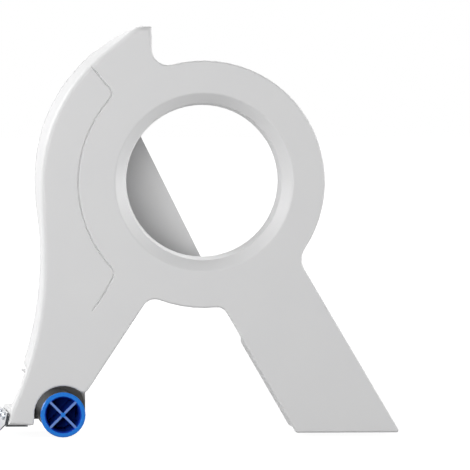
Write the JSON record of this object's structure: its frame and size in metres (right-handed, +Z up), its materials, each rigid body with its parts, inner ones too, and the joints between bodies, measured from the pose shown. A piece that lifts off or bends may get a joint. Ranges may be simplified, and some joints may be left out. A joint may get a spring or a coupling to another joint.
{
  "type": "masking tape dispenser",
  "caption": "Hand-held tape dispenser: moulded ring body with a core hub, a press roller and a serrated cutting strip on the nose, and an angled box grip.",
  "frame": {"origin": "centre of the part's bounding box, on the surface that it stands on", "axes": "+Z up, -Y towards the front face with the bevelled bore, -X towards the nose and blade"},
  "size_m": [0.1822, 0.056, 0.186],
  "materials": {
    "white_plastic": "white moulded styrene, satin",
    "blue_plastic": "blue moulded plastic, satin",
    "roller_rubber": "dark grey rubber",
    "blade_steel": "stamped steel strip",
    "axle_steel": "turned steel",
    "screw_steel": "zinc plated",
    "bush_plastic": "natural bearing plastic"
  },
  "bodies": {
    "root": {"front_shell": "white_plastic", "rear_shell": "white_plastic", "axle_bush": "bush_plastic", "cutter_blade": "blade_steel", "sole_plate": "blade_steel", "blade_screw_1": "screw_steel", "blade_screw_2": "screw_steel", "case_screw_1": "screw_steel", "case_screw_2": "screw_steel", "case_screw_3": "screw_steel", "case_screw_4": "screw_steel", "case_screw_5": "screw_steel", "case_screw_6": "screw_steel"},
    "roller_group": {"roller": "blue_plastic", "roller_sleeve": "roller_rubber", "roller_axle": "axle_steel", "axle_washer": "axle_steel", "axle_clip": "axle_steel"}
  },
  "joints": [
    {"name": "roller_spin", "type": "hinge", "parent": "root", "child": "roller_group", "pos_m": [-0.06173, 0, 0.01023], "axis": [0, 1, 0], "continuous": true}
  ]
}
